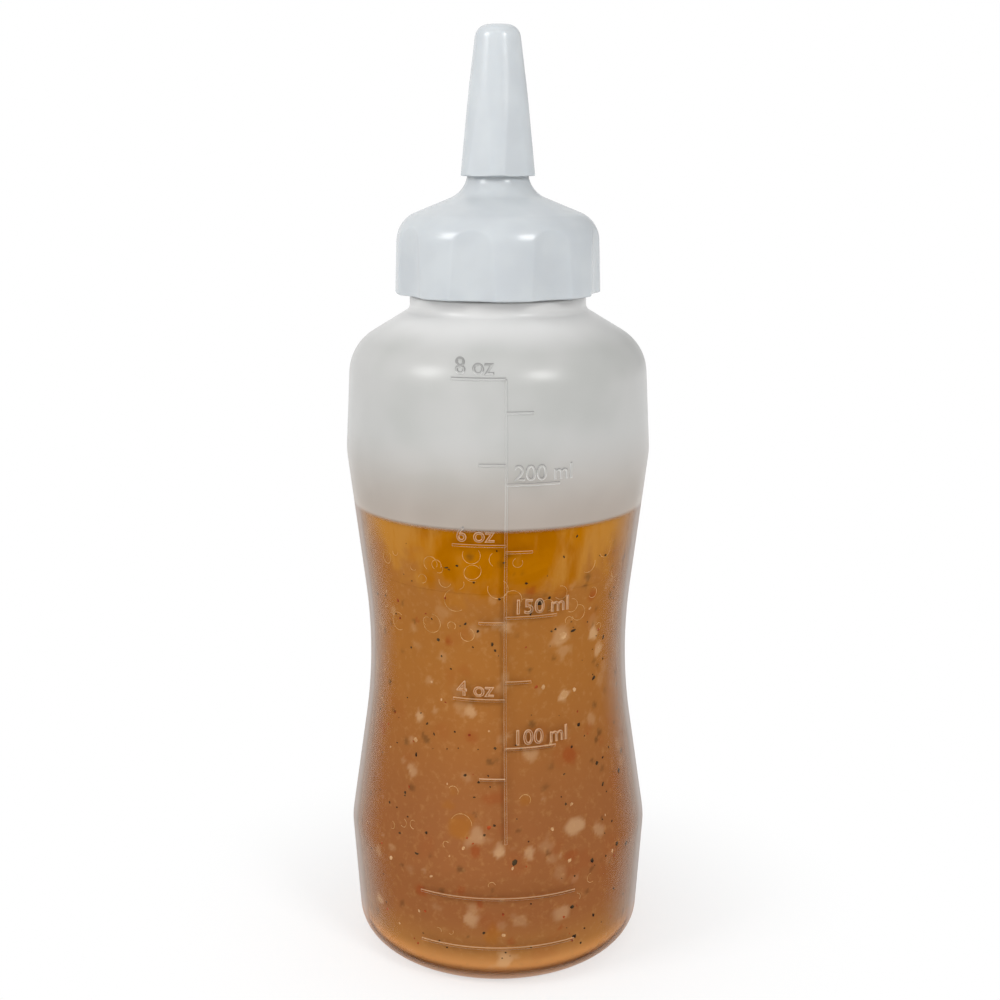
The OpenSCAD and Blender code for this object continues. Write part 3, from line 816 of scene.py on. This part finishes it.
flank_step = (THREAD_ROOT + THREAD_CREST) / 2 + 0.15 * MM
thread(closure_bm, SKIRT_BORE_R, -THREAD_DEPTH, neck_thread_z - flank_step)
closure_shell = recalculated(closure_bm, "closure_shell", closure_plastic)

# %% [markdown]
# ## The sealing washer
# A flat silicone ring between the neck's rim and the closure. It shows only when the closure is
# off, but it has softly rounded edges like the rest.

# %% Spin the washer
WASHER_IN = PLUG_R + EDGE_ROUND + SEAL_GAP
WASHER_OUT = SKIRT_BORE_R - EDGE_ROUND - SEAL_GAP
WASHER_EDGE = 0.15 * MM
washer_low = RIM_Z + SEAL_GAP
washer_top = washer_low + SEAL_T
washer_bm = bmesh.new()
draw_outline(washer_bm, [
    (WASHER_IN, washer_low + SEAL_T / 2, 0),
    (WASHER_IN, washer_low, WASHER_EDGE),
    (WASHER_OUT, washer_low, WASHER_EDGE),
    (WASHER_OUT, washer_top, WASHER_EDGE),
    (WASHER_IN, washer_top, WASHER_EDGE),
    (WASHER_IN, washer_low + SEAL_T / 2, 0),
])
revolve(washer_bm, ROUND_STEPS)
seal_washer = finish_piece(washer_bm, "seal_washer", silicone)

# %% [markdown]
# ## The tip cap
# A blind tapered cap with six flats round its lower half. It is spun, and the flats are pressed
# in with the same smooth minimum, against six planes that lean in less than the cap does.

# %% Spin the tip cap
CAP_WALL, CAP_GAP, CAP_END_GAP = 1.44 * MM, 0.12 * MM, 0.5 * MM
CAP_ROUND, CAP_CROWN = 2.4 * MM, 0.2 * MM
CAP_FLATS, FLAT_DEPTH, FLAT_H = 6, 0.43 * MM, 14.3 * MM
FLAT_BLEND = 0.08 * MM
CAP_STEPS = 240
nozzle_taper = (NOZZLE_R - NOZZLE_TIP_R) / (NOZZLE_TIP_Z - NOZZLE_Z)
cap_bore_r = NOZZLE_R - nozzle_taper * (CAP_Z - NOZZLE_Z) + CAP_GAP
bore_end_z = NOZZLE_TIP_Z + CAP_END_GAP
bore_end_r = NOZZLE_R - nozzle_taper * (bore_end_z - NOZZLE_Z) + CAP_GAP
cap_mouth_r = cap_bore_r + CAP_WALL
cap_side_z = CAP_TOP_Z - CAP_CROWN
cap_top_r = cap_mouth_r - nozzle_taper * (cap_side_z - CAP_Z)

cap_bm = bmesh.new()
draw_outline(cap_bm, [
    (0, bore_end_z, 0),
    (bore_end_r, bore_end_z, 0.3 * MM),
    (cap_bore_r, CAP_Z, 0.15 * MM),
    (cap_mouth_r, CAP_Z, EDGE_ROUND),
    (cap_top_r, cap_side_z, CAP_ROUND),
    (0, CAP_TOP_Z, 0),
])
cap_sides = [e for e in cap_bm.edges if e.calc_length() > 15 * MM
             and min(v.co.x for v in e.verts) > bore_end_r + CAP_GAP]
bmesh.ops.subdivide_edges(cap_bm, edges=cap_sides, cuts=48)
revolve(cap_bm, CAP_STEPS)


def flat_radius(angle, z):
    """Radius of the flats' planes in a direction, at a height."""
    pitch = math.tau / CAP_FLATS
    off = (angle + math.pi / 2) % pitch - pitch / 2
    lean = nozzle_taper - FLAT_DEPTH / FLAT_H
    return (cap_mouth_r - FLAT_DEPTH - lean * (z - CAP_Z)) / math.cos(off)


for v in cap_bm.verts:
    r = v.co.xy.length
    skin = cap_mouth_r - nozzle_taper * (v.co.z - CAP_Z)
    if r > skin - EDGE_ROUND * 1.2 and v.co.z < cap_side_z - CAP_ROUND:
        v.co.xy *= smooth_least(r, flat_radius(math.atan2(v.co.y, v.co.x), v.co.z), FLAT_BLEND) / r
bmesh.ops.recalc_face_normals(cap_bm, faces=cap_bm.faces)
tip_cap_shell = finish_piece(cap_bm, "tip_cap_shell", cap_plastic)

# %% [markdown]
# ## The liquids
# The dressing and the oil fill the bottle up to a level line. Their outline is the wall's inner
# skin moved in by a hair, cut off at the heights where a layer starts and ends with bisect_plane,
# and closed to the axis. It is cut finely, because the attribute of the floating bits lives on
# its points.

# %% Spin the liquids
FILM = 0.22 * MM
LAYER_GAP = 0.02 * MM
LIQUID_GRID = 0.55 * MM
LIQUID_STEPS = 336
liquid_corners = moved_in(body_corners, WALL + FILM)
liquid_side = [p for p in outline_points(liquid_corners) if p[0] > PUSH_UP_R]


def spin_layer(name, material, foot_z, top_z):
    """One layer of liquid: the part of the inside between two heights."""
    bm = bmesh.new()
    draw_outline(bm, liquid_corners)
    for height, side in ((foot_z, -1), (top_z, 1)):
        bmesh.ops.bisect_plane(bm, geom=bm.verts[:] + bm.edges[:], plane_co=(0, 0, height),
                               plane_no=(0, 0, side), clear_outer=True)
    for edge in list(bm.edges):
        cuts = int(edge.calc_length() / LIQUID_GRID)
        if cuts and min(v.co.x for v in edge.verts) > PUSH_UP_R:
            bmesh.ops.subdivide_edges(bm, edges=[edge], cuts=cuts)
    for end in [v for v in bm.verts if len(v.link_edges) == 1 and v.co.x > MM]:
        bm.edges.new((end, bm.verts.new((0, 0, end.co.z))))
    revolve(bm, LIQUID_STEPS)
    return finish_piece(bm, name, material)


dressing_fill = spin_layer("dressing_fill", emulsion, 0, OIL_FOOT_Z - LAYER_GAP)
oil_fill = spin_layer("oil_fill", amber_oil, OIL_FOOT_Z, LEVEL_Z)

# %% [markdown]
# ## Soft bits under the surface
# Garlic, red pepper and herbs drift at every depth, and the deeper ones blur. Each is a soft spot
# in the liquid's attribute, wobbled by noise so that no spot is round. The large ones on the side
# of the scale are listed one by one, and the rest are scattered evenly from one seed.

# %% Soft bits under the surface
GARLIC_BITS, RED_BITS, HERB_BITS, OIL_DROPS = range(4)
placed_garlic = [(11.5, 66, 3.6), (21, 62, 2.2), (19.5, 65.5, 2.6), (12.3, 55.3, 2), (1.5, 69.5, 2.4),
                 (-5, 53, 2.8), (-15.3, 50.8, 1.8), (6, 45.3, 2.4), (-17, 40.5, 2.3), (-4, 30.6, 3.6),
                 (0.5, 27.6, 2.8), (5.6, 27.4, 2.4), (15, 30.5, 3.6), (-5, 14, 2.8), (1.5, 5.8, 3.4),
                 (12.3, 14.2, 3.2), (20.5, 28.6, 3)]
placed_red = [(19, 73.3, 2.4), (6, 75.8, 1.9), (-15.5, 69, 1.1), (-4.7, 48.5, 2.2), (-9, 66, 1.3),
              (13.7, 44, 3), (-1, 37.6, 3.4), (14, 25.7, 2.6), (-4, 28, 2.2), (-15, 18.3, 2.4),
              (2.4, 10, 1.6), (12, 11.2, 1.2), (-3.3, 17.2, 1.9), (-7, 20, 2)]
placed_drops = [(-12.3, 80.4, 2.6), (-9.5, 77.4, 2.2), (-7, 77.2, 2.2), (-7.6, 74, 4), (0, 76.5, 3.6),
                (-8.2, 38.3, 1.8), (4.9, 37, 2), (-6.7, 32, 4), (-9.2, 35.5, 2.2), (-1, 11, 3.5)]
FRONT_REACH = 25 * MM
BIT_SHARE, BIT_FADE = 0.6, 2.2
WOBBLE, WOBBLE_SHARE = 0.8, 0.55
LEAST_SHOWN = 0.45
rng = random.Random(7)


def scatter(count, low_z, high_z, least, most, clear_front=True):
    """Random places on the liquid's side: way round, height and size, in metres."""
    places = []
    while len(places) < count:
        z = rng.uniform(low_z, high_z) * MM
        x = rng.uniform(-math.pi, math.pi) * radius_at(liquid_side, z)
        size = rng.uniform(least, most) * MM
        if not (clear_front and abs(x) < FRONT_REACH):
            places.append((x, z, size))
    return places


def on_side(x, z, out=0.0):
    """The point on the liquid's side at a way round from -Y and a height."""
    r = radius_at(liquid_side, z)
    return Vector((math.sin(x / r) * (r + out), -math.cos(x / r) * (r + out), z))


def in_metres(places):
    """Places and sizes written in millimetres, as metres."""
    return [tuple(value * MM for value in place) for place in places]


soft_bits = [
    (GARLIC_BITS, 0.52, in_metres(placed_garlic) + scatter(46, 5, 74, 1.4, 3.4)),
    (GARLIC_BITS, 0.2, scatter(170, 4, 76, 0.8, 3.0, clear_front=False)),
    (RED_BITS, 0.6, in_metres(placed_red) + scatter(34, 8, 76, 1.2, 2.6)),
    (RED_BITS, 0.16, scatter(80, 6, 76, 2.0, 5.0, clear_front=False)),
    (HERB_BITS, 0.5, scatter(160, 6, 84, 0.7, 1.5, clear_front=False)),
    (OIL_DROPS, 0.32, in_metres(placed_drops) + scatter(34, 8, 80, 1.6, 3.6)),
]


def stain_liquid(piece):
    """Writes the soft bits into the piece's colour attribute."""
    mesh = piece.data
    near = kdtree.KDTree(len(mesh.vertices))
    for v in mesh.vertices:
        near.insert(v.co, v.index)
    near.balance()
    shares = [[0.0] * 4 for _ in mesh.vertices]
    for kind, strength, places in soft_bits:
        for x, z, size in places:
            seed = Vector((x, z, size)) * 50 / MM
            shown = strength * rng.uniform(LEAST_SHOWN, 1.0)
            for co, index, distance in near.find_range(on_side(x, z), size):
                wobble = 1 + WOBBLE * noise.noise(co / (size * WOBBLE_SHARE) + seed)
                fade = 1 - distance / (size * BIT_SHARE * wobble)
                share = shown * min(max(fade * BIT_FADE, 0), 1)
                shares[index][kind] = max(shares[index][kind], share)
    attribute = mesh.color_attributes.new("floating", "FLOAT_COLOR", "POINT")
    attribute.data.foreach_set("color", [value for share in shares for value in share])


for layer in (dressing_fill, oil_fill):
    stain_liquid(layer)
print("soft bits:", sum(len(places) for _, _, places in soft_bits))

# %% [markdown]
# ## Crisp bits at the wall
# Pepper and herb flakes press against the wall, where they look sharp. Each is a small icosphere,
# squeezed, turned and dented, made flat in the same way as the scale and wrapped onto the
# liquid's side. Twenty faces are enough for a flake of half a millimetre.

# %% Crisp bits at the wall
placed_pepper = [(14.3, 67.2, 1.5), (7.5, 73.6, 1.4), (5.8, 71.7, 1.2), (5, 77.4, 0.6), (9.3, 74.3, 0.6),
                 (9.8, 67.8, 0.6), (22.6, 64, 0.9), (19.8, 56.8, 1.1), (-1, 66, 0.9), (-9.2, 80, 0.9),
                 (-11, 66, 0.7), (-16, 43.5, 0.9), (15.8, 49, 0.9), (14.6, 85.2, 0.7), (12, 81.7, 0.7),
                 (21.9, 80.3, 0.7), (-15.8, 25.5, 1), (-23, 32.8, 0.6), (3, 25.8, 1.2), (18.8, 23.3, 1.1),
                 (22, 36.5, 1), (20.4, 40.8, 0.9), (14.4, 15, 1), (19.5, 11.5, 1), (15, 8.5, 1.1)]

DENT = 0.16


def flake_material(name, dark, pale, roughness):
    """Dried leaf or peppercorn skin: matt, and different from flake to flake."""
    material, tree, place = new_material(name)
    shade = eased(tree, patches(tree, place, 0.9 * MM), 0.35, 0.65)
    flake = add_node(tree, "BsdfPrincipled", {
        "Base Color": blend(tree, shade, dark, pale), "Roughness": roughness,
        "Specular IOR Level": 0.15})
    add_node(tree, "OutputMaterial", [flake])
    return material


def flakes(name, material, places, thickness, slenderness, detail):
    """A piece made of many small dented flakes that lie on the liquid's side."""
    bm = bmesh.new()
    for x, z, size in places:
        narrow = rng.uniform(*slenderness)
        turn = Matrix.Rotation(rng.uniform(0, math.tau), 4, "Y")
        form = Matrix.Diagonal((size, thickness, size * narrow, 1))
        made = bmesh.ops.create_icosphere(bm, subdivisions=detail, radius=0.5,
                                          matrix=Matrix.Translation((x, 0, z)) @ turn @ form)
        for v in made["verts"]:
            dent = rng.uniform(-DENT, DENT) * size
            v.co += Vector((dent * narrow, 0, dent * narrow))
    wrap(bm, liquid_side)
    return recalculated(bm, name, material)


herb_leaf = flake_material("ground_pepper_and_herbs", "#22160a", "#463620", 0.8)
red_flesh = flake_material("red_pepper_flesh", "#7e2a0a", "#a8481c", 0.6)
garlic_flesh = flake_material("minced_garlic", "#b88a5a", "#cfa678", 0.6)
small_pepper = scatter(330, 4, 85, 0.22, 0.62, clear_front=False)
large_pepper = in_metres(placed_pepper) + scatter(50, 5, 85, 0.7, 1.3)
pepper_flakes = flakes("pepper_flakes", herb_leaf, small_pepper + large_pepper,
                       0.24 * MM, (0.4, 1.0), 1)
red_flakes = flakes("red_flakes", red_flesh, scatter(60, 6, 78, 0.3, 0.8, clear_front=False),
                    0.2 * MM, (0.5, 1.0), 1)
garlic_crumbs = flakes("garlic_crumbs", garlic_flesh, scatter(70, 5, 74, 0.4, 0.9, clear_front=False)
                       + in_metres([(12.6, 55.3, 1.6), (12.1, 66.6, 1.6)]), 0.2 * MM, (0.5, 0.9), 2)

# %% [markdown]
# ## Drops of oil on the wall
# Where a drop of oil touches the wall, its rim catches the light as a fine pale arc on one side. The arc
# is a pale tube, a painted highlight for that glint.
# Each rim is a small diamond section spun about the drop's own centre, through part of a turn.

# %% Drops of oil on the wall
RIM_T = 0.085 * MM
RIM_STEP = math.radians(18)
placed_rims = [(-12.3, 80.4, 2.7), (-9.5, 77.4, 2.3), (-7, 77.2, 2.1), (-7.6, 74, 4.2), (0, 82, 3),
               (0, 76.5, 3.6), (-8.2, 38.3, 1.9), (4.9, 37, 2.1), (-6.7, 32.4, 4), (-19, 30.3, 1.6),
               (-16.5, 30.6, 1.6), (-22, 29, 1.4), (-9.6, 28.4, 1.2), (-11.3, 10.8, 1.2),
               (-8.8, 11, 1), (-1.1, 21.4, 1.3), (15.3, 16.7, 1.7), (18.7, 19.8, 2),
               (25.6, 76.4, 2.6), (-16, 79.3, 1.5)]


def drop_rims(name, material, places):
    """Arcs of fine tube on the liquid's side, one for each drop."""
    bm = bmesh.new()
    for x, z, size in places:
        small = bmesh.new()
        centre = Vector((x, 0, z))
        section = bmesh.ops.create_circle(small, cap_ends=True, segments=4, radius=RIM_T / 2)["verts"]
        bmesh.ops.translate(small, vec=centre + Vector((size / 2, 0, 0)), verts=section)
        start = Matrix.Rotation(rng.uniform(0, math.tau), 3, "Y")
        bmesh.ops.rotate(small, verts=section, cent=centre, matrix=start)
        turn = rng.uniform(1.6, 5.2)
        face = section[0].link_faces[0]
        bmesh.ops.spin(small, geom=section + face.edges[:] + [face], cent=centre,
                       axis=(0, 1, 0), angle=turn, steps=max(4, round(turn / RIM_STEP)))
        join(bm, small)
    wrap(bm, liquid_side)
    return recalculated(bm, name, material)


# Painted highlight: the rims' pale colour stands in for the glint on the drops' edges.
painted_rim_glint = flake_material("oil_drop_rim", "#b98a4c", "#dcb67e", 0.3)
rims = in_metres(placed_rims) + scatter(70, 66, 84, 1.2, 3.6, clear_front=False)
rims += scatter(45, 7, 66, 0.7, 2.2)
oil_drop_rims = drop_rims("oil_drop_rims", painted_rim_glint, rims)

# %% [markdown]
# ## Stage, light and camera
# A plain pale floor fades into a white surround. Two soft boxes stand where the highlights on the
# shoulder say they stood: far to the left, and nearer the camera on the right. Reflections see
# the surround grey on the right, as if a flag stood there, which draws the outline on that side.

# %% Camera
CAMERA_DISTANCE, CAMERA_HEIGHT, CAMERA_SIDE = 275.5 * MM, 151.7 * MM, 0.38 * MM
CAMERA_PITCH = math.radians(13.3)
camera_data = bpy.data.cameras.new("camera")
camera_data.lens, camera_data.sensor_width = 54, 36
camera_data.clip_start = 0.01
camera = bpy.data.objects.new("camera", camera_data)
camera.location = (CAMERA_SIDE, -CAMERA_DISTANCE, CAMERA_HEIGHT)
camera.rotation_euler = (math.pi / 2 - CAMERA_PITCH, 0, 0)
bpy.context.scene.collection.objects.link(camera)
bpy.context.scene.camera = camera
bpy.context.scene.view_settings.view_transform = "Standard"

# %% World and floor
def seen_directly(tree):
    """One for rays that the camera, a reflection or clear plastic sends out, else zero."""
    path = add_node(tree, "LightPath").node.outputs
    mirrored = add_node(tree, "Math", [path["Is Glossy Ray"], path["Is Transmission Ray"]],
                        operation="MAXIMUM")
    return add_node(tree, "Math", [path["Is Camera Ray"], mirrored], operation="MAXIMUM")


SKY_LEVEL, SKY_RISE, SKY_LEAN = 0.56, 0.24, 0.08
FLAG_LEVEL, FLAG_REACH = 0.42, 0.45


def white_surround():
    """Soft light, brighter from above and the left. The camera sees the surround as pure white."""
    world = bpy.data.worlds.new("surround")
    bpy.context.scene.world = world
    world.use_nodes = True
    tree = world.node_tree
    tree.nodes.clear()
    way = add_node(tree, "TexCoord", output="Generated")
    x, y, z = add_node(tree, "SeparateXYZ", [way]).node.outputs[:]
    rise = add_node(tree, "Math", [z, SKY_RISE, SKY_LEVEL], operation="MULTIPLY_ADD")
    lean = add_node(tree, "Math", [x, -SKY_LEAN, rise], operation="MULTIPLY_ADD")
    light = add_node(tree, "Background", [(1, 1, 1, 1), lean])
    mirrored = add_node(tree, "LightPath", output="Is Glossy Ray")
    flag = eased(tree, x, 0.0, FLAG_REACH, 1.0, FLAG_LEVEL)
    level = add_node(tree, "Mix", {0: mirrored, 2: 1.0, 3: flag})
    white = add_node(tree, "Background", [(1, 1, 1, 1), level])
    both = add_node(tree, "MixShader", [seen_directly(tree), light, white])
    add_node(tree, "OutputWorld", [both])


def pale_floor(size, near, far, lift):
    """A floor that holds a light shadow by the object and is plain white away from it."""
    material, tree, place = new_material("pale_floor")
    away = add_node(tree, "VectorMath", [place], output="Value", operation="LENGTH")
    fade = eased(tree, away, near, far, lift, 1.0)
    share = add_node(tree, "Math", [fade, seen_directly(tree)], operation="MULTIPLY")
    paper = add_node(tree, "BsdfDiffuse", [linear("#fafafa")])
    glow = add_node(tree, "Emission", [(1, 1, 1, 1), 1.0])
    cover = add_node(tree, "MixShader", [share, paper, glow])
    add_node(tree, "OutputMaterial", [cover])
    bm = bmesh.new()
    bmesh.ops.create_grid(bm, x_segments=8, y_segments=8, size=size / 2)
    return finish_piece(bm, "floor", material, smooth=False)


white_surround()
floor = pale_floor(4.0, 0.028, 0.08, 0.6)

# %% Soft boxes
def soft_box(name, azimuth, elevation, distance, size, watts):
    """A square area lamp that looks at the bottle. Azimuth 0 is the camera's side."""
    lamp = bpy.data.lights.new(name, "AREA")
    lamp.shape, lamp.size, lamp.energy = "SQUARE", size, watts
    holder = bpy.data.objects.new(name, lamp)
    a, e = math.radians(azimuth), math.radians(elevation)
    away = Vector((math.sin(a) * math.cos(e), -math.cos(a) * math.cos(e), math.sin(e)))
    target = Vector((0, 0, 0.1))
    holder.location = target + away * distance
    holder.rotation_euler = away.to_track_quat("Z", "Y").to_euler()
    bpy.context.scene.collection.objects.link(holder)


soft_box("left_box", -60, 32, 0.9, 0.3, 2.8)
soft_box("right_box", 36, 32, 0.9, 0.24, 2.8)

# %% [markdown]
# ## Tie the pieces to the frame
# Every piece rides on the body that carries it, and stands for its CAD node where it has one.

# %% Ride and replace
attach(bottle_wall, "bottle")
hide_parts("bottle")
for part in (neck_thread, volume_scale, scale_labels):
    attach(part, "bottle")
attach(dressing_fill, "bottle")
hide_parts("dressing")
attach(oil_fill, "bottle")
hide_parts("oil_layer")
for bits in (pepper_flakes, red_flakes, garlic_crumbs):
    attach(bits, "bottle")
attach(oil_drop_rims, "bottle")
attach(closure_shell, "closure")
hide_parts("closure")
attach(seal_washer, "seal_ring")
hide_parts("seal_ring")
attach(tip_cap_shell, "tip_cap")
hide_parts("tip_cap")
